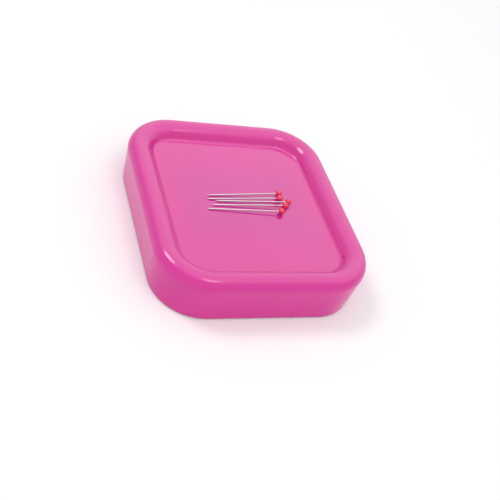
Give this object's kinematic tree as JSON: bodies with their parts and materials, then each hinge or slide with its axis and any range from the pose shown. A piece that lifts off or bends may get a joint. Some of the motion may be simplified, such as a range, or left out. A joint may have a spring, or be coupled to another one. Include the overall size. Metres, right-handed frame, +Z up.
{
  "type": "magnetic pin bowl",
  "caption": "Shallow rounded-corner dish with magnets under its tray floor, a screwed base plate, rubber feet and ball-headed pins lying in it.",
  "frame": {"origin": "centre of the footprint, on the surface that the feet stand on", "axes": "+Z up out of the tray, +Y along the dish's longer side, +X across it, the pin heads towards +X"},
  "size_m": [0.1, 0.11, 0.0234],
  "materials": {
    "dish_plastic": "glossy magenta pink",
    "cover_plastic": "fine matt magenta pink",
    "ferrite": "ground dark grey",
    "keeper_steel": "plain sheet",
    "foam": "soft open foam",
    "screw_steel": "zinc plated",
    "foot_rubber": "matt",
    "pin_steel": "nickel plated",
    "head_plastic": "glossy red"
  },
  "bodies": {
    "bowl": {"dish": "dish_plastic", "base_cover": "cover_plastic", "magnet_front": "ferrite", "magnet_rear": "ferrite", "keeper_plate": "keeper_steel", "foam_pad": "foam", "cover_screws": "screw_steel", "foot_front_left": "foot_rubber", "foot_front_right": "foot_rubber", "foot_rear_left": "foot_rubber", "foot_rear_right": "foot_rubber"},
    "pin_1": {"pin_1_shaft": "pin_steel", "pin_1_head": "head_plastic"},
    "pin_2": {"pin_2_shaft": "pin_steel", "pin_2_head": "head_plastic"},
    "pin_3": {"pin_3_shaft": "pin_steel", "pin_3_head": "head_plastic"},
    "pin_4": {"pin_4_shaft": "pin_steel", "pin_4_head": "head_plastic"},
    "pin_5": {"pin_5_shaft": "pin_steel", "pin_5_head": "head_plastic"}
  },
  "joints": [
    {"name": "pin_1_lift", "type": "slide", "parent": "bowl", "child": "pin_1", "axis": [0, 0, 1], "range_m": [0, 0.05]},
    {"name": "pin_2_lift", "type": "slide", "parent": "bowl", "child": "pin_2", "axis": [0, 0, 1], "range_m": [0, 0.05]},
    {"name": "pin_3_lift", "type": "slide", "parent": "bowl", "child": "pin_3", "axis": [0, 0, 1], "range_m": [0, 0.05]},
    {"name": "pin_4_lift", "type": "slide", "parent": "bowl", "child": "pin_4", "axis": [0, 0, 1], "range_m": [0, 0.05]},
    {"name": "pin_5_lift", "type": "slide", "parent": "bowl", "child": "pin_5", "axis": [0, 0, 1], "range_m": [0, 0.05]}
  ]
}
